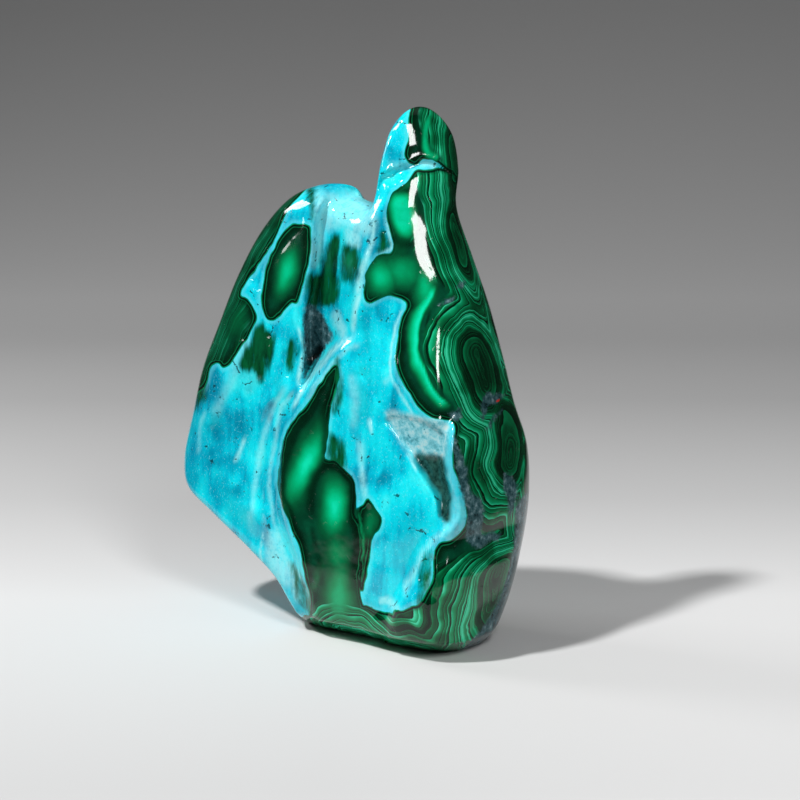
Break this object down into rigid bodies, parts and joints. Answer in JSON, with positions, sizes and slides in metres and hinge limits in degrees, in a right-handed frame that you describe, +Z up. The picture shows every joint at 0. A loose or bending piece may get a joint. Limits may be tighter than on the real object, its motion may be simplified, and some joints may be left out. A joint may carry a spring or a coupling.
{
  "type": "polished mineral specimen",
  "caption": "Free-standing polished freeform of chrysocolla with banded malachite: a slab on a flat foot, with a leaning wing, a hollow and a pillar with a knob.",
  "frame": {"origin": "centre of the bounding box at the bottom, on the flat foot", "axes": "+Z up; the display face with the hollow looks along -Y; the wing is at -X and the pillar with the knob at +X"},
  "size_m": [0.0878, 0.0392, 0.1168],
  "materials": {
    "stone": "polished chrysocolla and malachite, cyan and banded green"
  },
  "bodies": {
    "root": {"specimen": "stone"}
  },
  "joints": []
}
